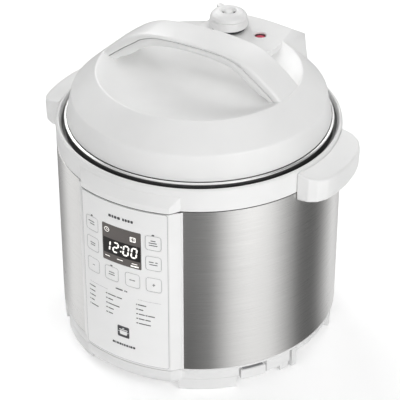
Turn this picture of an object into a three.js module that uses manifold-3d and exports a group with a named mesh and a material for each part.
// Electric pressure cooker of the 6 litre class, drawn as the pieces it comes apart into.
// Millimetres, +Z up. The origin is on the floor under the body's axis, the panel faces -Y.
// Angles are in degrees round the body, from the front (-Y) towards +X.
import * as THREE from 'three';
import { mergeVertices } from 'three/addons/utils/BufferGeometryUtils.js';
import Module from 'manifold-3d';

const wasm = await Module();
wasm.setup();

// Driving dimensions of the housing
const GAP = 0.3;
const BODY_R = 142;
const SHEET = 0.8;
const BASE_TOP = 28;
const WRAP_TOP = 213.4;
const RING_TOP = 238;
const FLOOR_Z = 8;
const SIDES = 48;
const SIDE_STEP = 360 / SIDES;

// Control panel
const PANEL_R = 149;
const FASCIA_R = 148.2;
const FASCIA_IN_R = 145.7;
const FACE_HALF = 19.1;
const BEVEL_HALF = 22.9;
const FLANGE_HALF = 23.9;
const OVERLAY_HALF = 18.6;
const OVERLAY_Z = [31, 211];
const WINDOW_HALF = 8.3;
const WINDOW_Z = [145.3, 187.2];
const KEY_W = 16;
const KEY_H = 16.4;
const KEY_R = 148.9;
const KEYS = [
  { name: 'key_left_top', along: -35, z: 179 },
  { name: 'key_left_middle', along: -35, z: 155.6 },
  { name: 'key_minus', along: -35, z: 130.6 },
  { name: 'key_bottom_left', along: -11.8, z: 130.6 },
  { name: 'key_bottom_right', along: 11.8, z: 130.6 },
  { name: 'key_right_top', along: 34, z: 179 },
  { name: 'key_right_middle', along: 34, z: 155.6 },
  { name: 'key_plus', along: 34, z: 130.6 },
];

// Pots
const OUTER_POT_R = 120;
const OUTER_POT_Z = [44, 232.5];
const INNER_POT_R = 111;
const INNER_POT_Z = [66, 234];
const LUG_COUNT = 6;
const LUG_WIDE = 24;
const TAB_R = 125;
const LUG_R = 125.5;

// Lid
const LID_EDGE_Z = 240.6;
const DECK_Z = 288;
const LID_PLATE_Z = [258, 259.4];
const HANDLE_HALF = 19;
const VALVE_AT = [-17, 89];
const FLOAT_AT = [18, 92];

// Side handles, feet, inlet and drip cup
const GRIP_Z = [206, 235];
const GRIP_X = 165.5;
const FOOT_HALF = 12.5;
const FEET = [
  { name: 'foot_front_right', at: 33.5 },
  { name: 'foot_rear_right', at: 146.5 },
  { name: 'foot_rear_left', at: 213.5 },
  { name: 'foot_front_left', at: 326.5 },
];
const REAR_Y = 149;
const CUP_HALF = 28;
const CUP_Z = [170, 205];
const SCREW_RING_R = 67;

const PAINT = {
  white: { color: 0xf2f2f0, roughness: 0.35, metalness: 0 },
  innerWhite: { color: 0xe4e4e0, roughness: 0.5, metalness: 0 },
  brushed: { color: 0xb4b4b2, roughness: 0.32, metalness: 1 },
  steel: { color: 0xc8c8c6, roughness: 0.22, metalness: 1 },
  aluminium: { color: 0xb0b2b4, roughness: 0.45, metalness: 1 },
  display: { color: 0x6a6662, roughness: 0.2, metalness: 0 },
  dark: { color: 0x1c1c1e, roughness: 0.4, metalness: 0 },
  board: { color: 0x2f6b3c, roughness: 0.55, metalness: 0 },
  silicone: { color: 0xd8d8d4, roughness: 0.7, metalness: 0 },
  red: { color: 0xc2203a, roughness: 0.4, metalness: 0 },
  clear: { color: 0xd9e2e6, roughness: 0.15, metalness: 0 },
  rubber: { color: 0xdededa, roughness: 0.8, metalness: 0 },
  brass: { color: 0xc9a650, roughness: 0.35, metalness: 1 },
};

const cooker = new THREE.Group();

// Six times the volume under a triangle list, negative when its faces point inwards.
function signedVolume(points, corners) {
  const [a, b, c] = [new THREE.Vector3(), new THREE.Vector3(), new THREE.Vector3()];
  let total = 0;
  for (let i = 0; i < corners.length; i += 3) {
    a.fromArray(points, 3 * corners[i]);
    b.fromArray(points, 3 * corners[i + 1]);
    c.fromArray(points, 3 * corners[i + 2]);
    total += a.dot(b.cross(c));
  }
  return total;
}

// A closed geometry as a solid with merged corners, no collapsed faces and its faces outwards.
function toSolid(geometry) {
  geometry.deleteAttribute('normal');
  geometry.deleteAttribute('uv');
  const merged = mergeVertices(geometry, 1e-4);
  const points = merged.attributes.position.array;
  const all = Array.from(merged.index.array);
  const corners = [];
  for (let i = 0; i < all.length; i += 3) {
    const [a, b, c] = all.slice(i, i + 3);
    if (a !== b && b !== c && c !== a) corners.push(a, b, c);
  }
  if (signedVolume(points, corners) < 0) corners.reverse();
  const mesh = new wasm.Mesh({
    numProp: 3,
    vertProperties: new Float32Array(points),
    triVerts: new Uint32Array(corners),
  });
  return new wasm.Manifold(mesh);
}

function solidOf(piece) {
  return piece.isBufferGeometry ? toSolid(piece) : piece;
}

function join(...pieces) {
  return pieces.map(solidOf).reduce((whole, piece) => whole.add(piece));
}

function cut(piece, ...tools) {
  return tools.map(solidOf).reduce((whole, tool) => whole.subtract(tool), solidOf(piece));
}

// Adds one named piece, turned round the body's axis and moved if asked.
function addPart(name, piece, paint, turn = 0, place = [0, 0, 0]) {
  const { vertProperties, triVerts } = solidOf(piece).getMesh();
  const geometry = new THREE.BufferGeometry();
  geometry.setAttribute('position', new THREE.BufferAttribute(vertProperties, 3));
  geometry.setIndex(new THREE.BufferAttribute(triVerts, 1));
  geometry.computeVertexNormals();
  const mesh = new THREE.Mesh(geometry, new THREE.MeshStandardMaterial(paint));
  mesh.name = name;
  mesh.rotation.z = THREE.MathUtils.degToRad(turn);
  mesh.position.fromArray(place);
  cooker.add(mesh);
}

// A turned solid from a closed outline of [radius, height] points.
function turned(outline, sides = SIDES) {
  const points = outline.map(([r, z]) => new THREE.Vector2(r, z));
  const [first, last] = [points[0], points[points.length - 1]];
  if (first.x > 0 || last.x > 0) points.push(first.clone());
  return new THREE.LatheGeometry(points, sides).rotateX(Math.PI / 2);
}

// An upright prism over a closed outline of [x, y] points.
function prism(outline, z0, z1) {
  const shape = new THREE.Shape(outline.map(([x, y]) => new THREE.Vector2(x, y)));
  return new THREE.ExtrudeGeometry(shape, { depth: z1 - z0, bevelEnabled: false }).translate(0, 0, z0);
}

function block(x0, x1, y0, y1, z0, z1) {
  const box = new THREE.BoxGeometry(x1 - x0, y1 - y0, z1 - z0);
  return box.translate((x0 + x1) / 2, (y0 + y1) / 2, (z0 + z1) / 2);
}

function rod(r, z0, z1, x = 0, y = 0, sides = 16) {
  const cylinder = new THREE.CylinderGeometry(r, r, z1 - z0, sides).rotateX(Math.PI / 2);
  return cylinder.translate(x, y, (z0 + z1) / 2);
}

function onCircle(r, angle) {
  const turn = THREE.MathUtils.degToRad(angle);
  return [r * Math.sin(turn), -r * Math.cos(turn)];
}

function arc(r, from, to, step = 3) {
  const count = Math.max(1, Math.round(Math.abs(to - from) / step));
  return Array.from({ length: count + 1 }, (_, i) => onCircle(r, from + ((to - from) * i) / count));
}

// A piece of a round wall between two radii and two angles.
function sector(rIn, rOut, from, to, z0, z1, step = 3) {
  return prism([...arc(rOut, from, to, step), ...arc(rIn, to, from, step)], z0, z1);
}

function wedge(half, z0, z1) {
  return prism([[0, -1], onCircle(200, half), onCircle(200, -half)], z0, z1);
}

class Helix extends THREE.Curve {
  constructor(radius, height, turns) {
    super();
    Object.assign(this, { radius, height, turns });
  }

  getPoint(t, target = new THREE.Vector3()) {
    const turn = 2 * Math.PI * this.turns * t;
    return target.set(this.radius * Math.cos(turn), this.radius * Math.sin(turn), this.height * t);
  }
}

// A coil spring standing on z = 0.
function spring(radius, wire, height, turns) {
  const section = Array.from({ length: 5 }, (_, i) => {
    const turn = (2 * Math.PI * i) / 5;
    return new THREE.Vector2(wire * Math.cos(turn), wire * Math.sin(turn));
  });
  const path = new Helix(radius, height, turns);
  return new THREE.ExtrudeGeometry(new THREE.Shape(section), { steps: turns * 9, extrudePath: path });
}

// Base tray with its skirt, the apron under the panel and the hood round the power inlet.
function baseRing() {
  const tray = turned([
    [64, FLOOR_Z], [137, FLOOR_Z], [139.5, 12], [139.5, 24.5], [BODY_R, 25.5],
    [BODY_R, BASE_TOP - GAP], [140.8, BASE_TOP - GAP], [140.8, 34], [137.5, 34], [137, 10.5], [64, 10.5],
  ]);
  const apron = turned([[138, 9], [146, 14], [FASCIA_R, 21], [FASCIA_R, BASE_TOP], [138, BASE_TOP]]);
  const front = solidOf(apron).intersect(toSolid(wedge(BEVEL_HALF, 0, 40)));
  const whole = join(tray, front, block(-22, 22, 118, REAR_Y, 4, BASE_TOP - GAP));
  const holes = screwPlaces().map(([x, y]) => rod(2.2, 0, 20, x, y, 8));
  return cut(whole, block(-14.1, 14.1, 116, 150, 6, 25.8), ...holes);
}

function screwPlaces() {
  return [45, 135, 225, 315].map((angle) => onCircle(SCREW_RING_R, angle));
}

// Access plate with cooling slots and the posts that carry the power board.
function bottomCover() {
  const plate = rod(70, 5.2, FLOOR_Z - GAP, 0, 0, SIDES);
  const posts = [[-45, -34], [45, -34], [45, 34], [-45, 34]].map(([x, y]) => rod(3, 7, 17.7, x, y, 8));
  const slots = [-24, -12, 0, 12, 24].map((x) => block(x - 2, x + 2, -22, 22, 4, 9));
  const holes = screwPlaces().map(([x, y]) => rod(2.2, 0, 20, x, y, 8));
  return cut(join(plate, ...posts), ...slots, ...holes);
}

function baseScrew() {
  return join(rod(3.2, 3.6, 4.9), rod(1.6, 4.8, 15, 0, 0, 8));
}

function foot() {
  return sector(124, 138, -FOOT_HALF, FOOT_HALF, 0, FLOOR_Z - GAP, 5);
}

// Steel sheet wrapped round the body, open behind the panel and cut out for the drip cup.
function steelWrap() {
  const sheet = sector(BODY_R - SHEET, BODY_R, 22.5, 337.5, BASE_TOP, WRAP_TOP, SIDE_STEP);
  return cut(sheet, block(-30.8, 30.8, 120, 150, 166.4, 207.4));
}

// Collar with the drip gutter inside it and the flare over the panel.
function topRing() {
  const collar = turned([
    [BODY_R, WRAP_TOP + GAP], [BODY_R, 235.5], [141, RING_TOP], [138.2, RING_TOP], [138, 236],
    [136.5, 222], [124.5, 222], [124.5, 226], [122.5, 226], [122.5, 219.5], [138.2, 219.5],
    [138.2, 207.5], [140.8, 207.5], [140.8, WRAP_TOP + GAP],
  ]);
  const flare = turned([
    [139, WRAP_TOP + GAP], [PANEL_R, WRAP_TOP + GAP], [PANEL_R, 221], [BODY_R, 230], [139, 230],
  ]);
  const front = solidOf(flare).intersect(toSolid(wedge(21.5, 200, 240)));
  return cut(join(collar, front), rod(2.5, 215, 225, 0, 131, 8));
}

// Side handle on the +X side: a shell that is open below for the fingers, its top sloping outwards.
function sideHandle() {
  const [low, high] = GRIP_Z;
  const half = [[130, 48.2], [146, 47.8], [154.5, 43.4], [160.3, 34.5], [163.9, 20]];
  const hollow = [[146.5, 43.2], [152.5, 40], [157.3, 32], [160.3, 18]];
  const shell = prism(mirrored(half, [GRIP_X, 0]), low, high);
  const inside = prism(mirrored(hollow, [161.3, 0]), low - 1, high - 11);
  const overSlope = prism([[139, high], [170, high - 6.9], [170, high + 9], [139, high + 9]], -60, 60);
  const body = turned([[0, 200], [BODY_R + GAP, 200], [BODY_R + GAP, 240], [0, 240]]);
  return cut(shell, inside, overSlope.rotateX(Math.PI / 2), body);
}

// An outline symmetric about the X axis, from its +Y half and its point on the axis.
function mirrored(half, tip) {
  const below = half.map(([x, y]) => [x, -y]);
  return [...below, tip, ...half.slice().reverse()];
}

// Thick shell of the control panel with its bevelled sides and the flanges over the sheet.
function panelFascia() {
  const side = (sign) => [
    onCircle(143.4, sign * BEVEL_HALF), onCircle(143.2, sign * FLANGE_HALF),
    onCircle(BODY_R + 0.4, sign * FLANGE_HALF), onCircle(BODY_R + 0.4, sign * 22.6),
  ];
  const outline = [
    ...arc(FASCIA_R, -FACE_HALF, FACE_HALF), ...side(1),
    ...arc(FASCIA_IN_R, 18.9, -18.9), ...side(-1).reverse(),
  ];
  return cut(prism(outline, BASE_TOP + GAP, WRAP_TOP), windowHole(), ...KEYS.map(keyHole));
}

function panelOverlay() {
  const sheet = sector(148.5, PANEL_R, -OVERLAY_HALF, OVERLAY_HALF, ...OVERLAY_Z);
  return cut(sheet, windowHole(), ...KEYS.map(keyHole));
}

function windowHole() {
  const half = WINDOW_HALF + 0.15;
  return sector(140, 155, -half, half, WINDOW_Z[0] - GAP, WINDOW_Z[1] + GAP);
}

function keyAngle(key) {
  return THREE.MathUtils.radToDeg(key.along / PANEL_R);
}

function keyHole(key) {
  const [w, h] = [KEY_W / 2 + GAP, KEY_H / 2 + GAP];
  const hole = block(-w, w, -156, -140, key.z - h, key.z + h);
  return hole.rotateZ(THREE.MathUtils.degToRad(keyAngle(key)));
}

// A key cap facing the front with the stem that reaches its switch.
function keyCap(key) {
  const [w, h] = [KEY_W / 2, KEY_H / 2];
  const cap = block(-w, w, -KEY_R, -FASCIA_IN_R, key.z - h, key.z + h);
  const stem = new THREE.CylinderGeometry(2, 2, 5, 8).translate(0, -143.4, key.z);
  return join(cap, stem);
}

function controlBoard() {
  const board = block(-38, 38, -135.6, -134, 90, 195);
  const driver = block(-12, 12, -134.2, -131, 104, 124);
  return join(board, driver);
}

function displayModule() {
  return block(-20, 20, -144.3, -136, 148, 185);
}

// Pressure pot with the shoulder it hangs by and the bayonet tabs round its mouth.
function outerPot() {
  const [low, high] = OUTER_POT_Z;
  const inside = OUTER_POT_R - 1.2;
  const pot = turned([
    [16, low], [118, low], [OUTER_POT_R, low + 2], [OUTER_POT_R, 226.3], [124.2, 226.3], [124.2, 227.9],
    [121, 227.9], [121, high], [inside, high], [inside, low + 2.6], [117.4, low + 1.2], [16, low + 1.2],
  ]);
  return join(pot, ...bayonet(OUTER_POT_R, TAB_R, 230, high));
}

function bayonet(rIn, rOut, z0, z1) {
  const pitch = 360 / LUG_COUNT;
  return Array.from({ length: LUG_COUNT }, (_, i) => {
    const middle = i * pitch;
    return sector(rIn, rOut, middle - LUG_WIDE / 2, middle + LUG_WIDE / 2, z0, z1, 6);
  });
}

function innerPot() {
  const [low, high] = INNER_POT_Z;
  return turned([
    [0, low], [106, low], [INNER_POT_R, low + 5], [INNER_POT_R, high - 1.2], [118, high - 1.2],
    [118, high], [110, high], [110, low + 5.5], [105.6, low + 1.1], [0, low + 1.1],
  ]);
}

// Cast heating plate on three legs, bored for the temperature sensor.
function heatingPlate() {
  const plate = turned([[11, 52], [98, 52], [98, 63], [96, 65.7], [11, 65.7]]);
  const legs = [0, 120, 240].map((angle) => rod(5, 45.5, 53, ...onCircle(80, angle), 8));
  return join(plate, ...legs);
}

function temperatureSensor() {
  return turned([[0, 40], [3, 40], [3, 58], [10, 58], [10, 65.7], [0, 65.7]], 16);
}

function sensorBracket() {
  return turned([[3.6, 45.5], [24, 45.5], [24, 46.7], [3.6, 46.7]], 16);
}

function pressureSwitch() {
  return join(block(52, 68, -6, 6, 24, 38), rod(2.5, 37, 43.7, 60, 0, 8));
}

// Power board with its relay, transformer and capacitor.
function powerBoard() {
  const board = block(-50, 50, -40, 40, 18, 19.6);
  const relay = block(-42, -24, -30, -12, 19, 34);
  const transformer = block(-14, 14, -28, -4, 19, 40);
  return join(board, relay, transformer, rod(8, 19, 36, -30, 16, 12));
}

const PINS = [
  { name: 'inlet_pin_line', x: -7, z: 14 },
  { name: 'inlet_pin_neutral', x: 7, z: 14 },
  { name: 'inlet_pin_earth', x: 0, z: 18 },
];

function inletPin(pin, grow = 0) {
  const [w, h] = [1 + grow, 2 + grow];
  return block(pin.x - w, pin.x + w, 114 - grow, 143.5 + grow, pin.z - h, pin.z + h);
}

function powerInlet() {
  const body = block(-13.8, 13.8, 120, 148.6, 6.3, 25.5);
  const recess = block(-12.1, 12.1, 131.5, 150, 7.8, 24);
  return cut(body, recess, ...PINS.map((pin) => inletPin(pin, GAP)));
}

// Channel at the rear that the drip cup slides into, open above and at the back.
function dripCupHolder() {
  const [low, high] = [CUP_Z[0] - 3, 206.9];
  const [side, back] = [CUP_HALF + 0.6, 126.7];
  const shell = block(-side - 1.6, side + 1.6, back, 143.5, low, high);
  return cut(shell, block(-side, side, back + 1.5, 150, low + 2.5, high + 1));
}

function dripCup() {
  const [low, high] = CUP_Z;
  const wall = 1.6;
  const shell = block(-CUP_HALF, CUP_HALF, 129, REAR_Y, low, high);
  const [w, y0, y1] = [CUP_HALF - wall, 129 + wall, REAR_Y - wall];
  return cut(shell, block(-w, w, y0, y1, low + wall, high + 1));
}

// The lid cover's outer form, filled down to its lower edge and raised if asked.
function lidForm(raise = 0) {
  const outline = [
    [0, 279.5], [70, 280.6], [88, 283.5], [97, 286.6], [101, 288.5],
    [126, 265], [131, LID_EDGE_Z], [0, LID_EDGE_Z],
  ];
  return turned(outline.map(([r, z]) => [r, z + raise]));
}

function lidHollow() {
  return turned([
    [0, 277], [70, 278.1], [88, 281], [97, 284], [100.4, 285.2],
    [123.6, 263.6], [128.6, LID_EDGE_Z], [128.9, 239], [0, 239],
  ]);
}

// Rear deck that carries the valves: a plateau with sloping sides, drawn in by a wall thickness if asked.
function deck(inset, top, floor) {
  const front = [
    [32.7, 63.4 + inset], [39.5 - inset, 64 + inset], [43.8 - inset, 67 + inset], [45.2 - inset, 74.2],
  ];
  const plateau = [
    ...front, [43.8 - inset, 89.2], [40.8 - inset, 115.5], [28, 120.8 - inset], [10, 123.6 - inset],
  ];
  const [side, rear] = [59.5 - inset, 130.8 - inset];
  const points = [
    ...plateau.map(([x, y]) => [x, y, top]), ...front.map(([x, y]) => [x, y, floor]),
    [side, 117, 262 - inset], [side, 117, floor], [49.1 - inset, rear, top - 8], [49.1 - inset, rear, floor],
  ];
  return wasm.Manifold.hull([...points, ...points.map(([x, y, z]) => [-x, y, z])]);
}

function lidCover() {
  const outside = join(lidForm(), deck(0, DECK_Z, 246));
  const inside = join(lidHollow(), deck(2.5, DECK_Z - 2.5, 243));
  const valve = rod(12.5, 280, 295, ...VALVE_AT);
  const float = rod(6.2, 280, 295, ...FLOAT_AT, 16);
  const screws = [-86, 86].map((x) => rod(2.3, 270, 300, x, 0, 8));
  return cut(cut(outside, inside), valve, float, ...screws);
}

// Half outlines of the arched lid handle, [x, z] from the middle to the foot.
const HANDLE_TOP = [
  [0, 325], [26, 324.3], [43.5, 322.5], [54, 320.4], [68, 314.4], [84, 303], [97, 292], [101.5, 285],
];
const HANDLE_SEAM = [
  [0, 321], [25, 320.3], [40, 319.6], [54.5, 314], [63, 308], [77, 298], [92, 286], [93, 280],
];
const HANDLE_UNDER = [
  [0, 311.5], [25, 310.3], [43.6, 307.7], [57, 300.5], [63, 296], [72, 290.7], [83, 286.3], [90, 280],
];

// A full arch between two half outlines, standing on the lid cover.
function arch(upper, lower) {
  const left = (half) => half.slice(1).reverse().map(([x, z]) => [-x, z]);
  const outline = [...left(upper), ...upper, ...lower.slice().reverse(), ...left(lower).reverse()];
  const bar = prism(outline, -HANDLE_HALF, HANDLE_HALF).rotateX(Math.PI / 2);
  const screws = [-86, 86].map((x) => rod(2.2, 270, 298.3, x, 0, 8));
  return cut(bar, lidForm(GAP), ...screws);
}

function handleScrew() {
  return join(rod(3.4, 275, 278), rod(1.7, 277.5, 298, 0, 0, 8));
}

// Steel pressure lid: dome, rim over the pot's mouth and skirt with the bayonet lugs.
function lidPlate() {
  const [low, high] = LID_PLATE_Z;
  const dome = turned([
    [0, high], [106, high], [120, 254], [126, 247], [126, 239.5], [133, 239.5], [133, 226], [131.6, 226],
    [131.6, 238.1], [124.6, 238.1], [124.6, 246.4], [119.3, 252.6], [105.8, low], [0, low],
  ]);
  const whole = join(dome, ...bayonet(LUG_R, 132, 226, 228.5));
  return cut(whole, rod(5.2, 250, 265, ...VALVE_AT, 12), rod(3.2, 250, 265, ...FLOAT_AT, 12));
}

function sealHolder() {
  return turned([[5.5, 248], [113, 248], [113, 244.5], [114.2, 244.5], [114.2, 249.2], [5.5, 249.2]]);
}

function sealingRing() {
  return turned([
    [114.6, 249.5], [120.5, 249.5], [122.5, 243], [121.5, 235],
    [116, 234.4], [115, 238], [118, 243.5], [114.6, 245],
  ]);
}

function holderPin() {
  return turned([[0, 243], [7, 243], [7, 247.6], [4.8, 247.6], [4.8, 257.7], [0, 257.7]], 16);
}

function exhaustPipe() {
  return turned([
    [2, 252], [4.6, 252], [4.6, 259.7], [8, 259.7], [8, 262], [4.6, 262], [4.6, 298], [2, 298],
  ], 12);
}

function antiBlockShield() {
  return turned([[0, 250], [11, 250], [11, 257], [9.5, 257], [9.5, 251.5], [0, 251.5]], 16);
}

function valveWeight() {
  return turned([[0, 303], [10.5, 303], [10.5, 289.5], [5.4, 289.5], [5.4, 298.6], [0, 298.6]], 16);
}

// Pressure-release knob with the pointer tab at the rear left of its skirt.
function valveKnob() {
  const cap = turned([
    [0, 308.5], [9, 308.1], [13.6, 306.8], [17.2, 304.2], [18.3, 302], [19.75, 297], [19.75, 292.5],
    [17.2, 292.5], [17.2, 288.7], [14.2, 288.7], [14.2, 295], [11, 295], [11, 303.5], [0, 303.5],
  ], 24);
  const tab = block(12.5, 24, -3.2, 3.2, 296, 302).rotateZ(THREE.MathUtils.degToRad(140));
  return join(cap, tab);
}

function floatPin() {
  return turned([
    [0, 249.9], [4, 249.9], [4, 250.5], [2.5, 250.5], [2.5, 278], [5.4, 278], [5.4, 285], [0, 285.7],
  ], 12);
}

function floatSeal() {
  return turned([[2.8, 250.8], [6, 250.8], [6, 252.8], [2.8, 252.8]], 12);
}

// Interlock lever that the float pin passes through; it slides inwards against its spring.
function interlockLever() {
  return cut(block(11, 25, 76, 118, 260.2, 263.2), block(14.7, 21.3, 85, 100, 259, 265));
}

function leverGuide() {
  const hood = block(8, 28, 64, 110, 259.8, 268);
  return cut(hood, block(10.5, 25.5, 66.5, 112, 259, 266), block(14.7, 21.3, 85, 100, 259, 269));
}

function addHousing() {
  addPart('base_ring', baseRing(), PAINT.white);
  addPart('bottom_cover', bottomCover(), PAINT.innerWhite);
  screwPlaces().forEach(([x, y], i) => {
    addPart(`base_screw_${i + 1}`, baseScrew(), PAINT.steel, 0, [x, y, 0]);
  });
  FEET.forEach(({ name, at }) => addPart(name, foot(), PAINT.rubber, at));
  addPart('steel_wrap', steelWrap(), PAINT.brushed);
  addPart('top_ring', topRing(), PAINT.white);
  addPart('side_handle_right', sideHandle(), PAINT.white);
  addPart('side_handle_left', sideHandle(), PAINT.white, 180);
  addPart('drip_cup_holder', dripCupHolder(), PAINT.white);
  addPart('drip_cup', dripCup(), PAINT.clear);
  addPart('power_inlet', powerInlet(), PAINT.dark);
  PINS.forEach((pin) => addPart(pin.name, inletPin(pin), PAINT.brass));
}

function addPanel() {
  addPart('panel_fascia', panelFascia(), PAINT.white);
  addPart('panel_overlay', panelOverlay(), PAINT.white);
  addPart('display_window', sector(146.2, PANEL_R, -WINDOW_HALF, WINDOW_HALF, ...WINDOW_Z), PAINT.display);
  addPart('display_module', displayModule(), PAINT.dark);
  addPart('control_board', controlBoard(), PAINT.board);
  KEYS.forEach((key) => addPart(key.name, keyCap(key), PAINT.white, keyAngle(key)));
}

function addPots() {
  addPart('outer_pot', outerPot(), PAINT.steel);
  addPart('inner_pot', innerPot(), PAINT.aluminium);
  addPart('heating_plate', heatingPlate(), PAINT.aluminium);
  addPart('temperature_sensor', temperatureSensor(), PAINT.aluminium);
  addPart('sensor_bracket', sensorBracket(), PAINT.steel);
  addPart('sensor_spring', spring(6, 0.8, 9, 4), PAINT.steel, 0, [0, 0, 48]);
  addPart('pressure_switch', pressureSwitch(), PAINT.dark);
  addPart('power_board', powerBoard(), PAINT.board);
}

function addLid() {
  addPart('lid_cover', lidCover(), PAINT.white);
  addPart('lid_handle_top', arch(HANDLE_TOP, HANDLE_SEAM.map(([x, z]) => [x, z + GAP])), PAINT.white);
  addPart('lid_handle_bottom', arch(HANDLE_SEAM, HANDLE_UNDER), PAINT.white);
  addPart('handle_screw_left', handleScrew(), PAINT.steel, 0, [-86, 0, 0]);
  addPart('handle_screw_right', handleScrew(), PAINT.steel, 0, [86, 0, 0]);
  addPart('lid_plate', lidPlate(), PAINT.steel);
  addPart('seal_holder', sealHolder(), PAINT.steel);
  addPart('sealing_ring', sealingRing(), PAINT.silicone);
  addPart('holder_pin', holderPin(), PAINT.steel);
}

function addValves() {
  const [valve, float] = [[...VALVE_AT, 0], [...FLOAT_AT, 0]];
  addPart('exhaust_pipe', exhaustPipe(), PAINT.steel, 0, valve);
  addPart('anti_block_shield', antiBlockShield(), PAINT.steel, 0, valve);
  addPart('valve_weight', valveWeight(), PAINT.steel, 0, valve);
  addPart('valve_knob', valveKnob(), PAINT.white, 0, valve);
  addPart('float_pin', floatPin(), PAINT.red, 0, float);
  addPart('float_seal', floatSeal(), PAINT.silicone, 0, float);
  addPart('interlock_lever', interlockLever(), PAINT.steel);
  addPart('lever_guide', leverGuide(), PAINT.innerWhite);
  const coil = spring(2.2, 0.4, 7.5, 4).rotateX(-Math.PI / 2);
  addPart('interlock_spring', coil, PAINT.steel, 0, [18, 67.4, 262.9]);
}

addHousing();
addPanel();
addPots();
addLid();
addValves();

export default cooker;
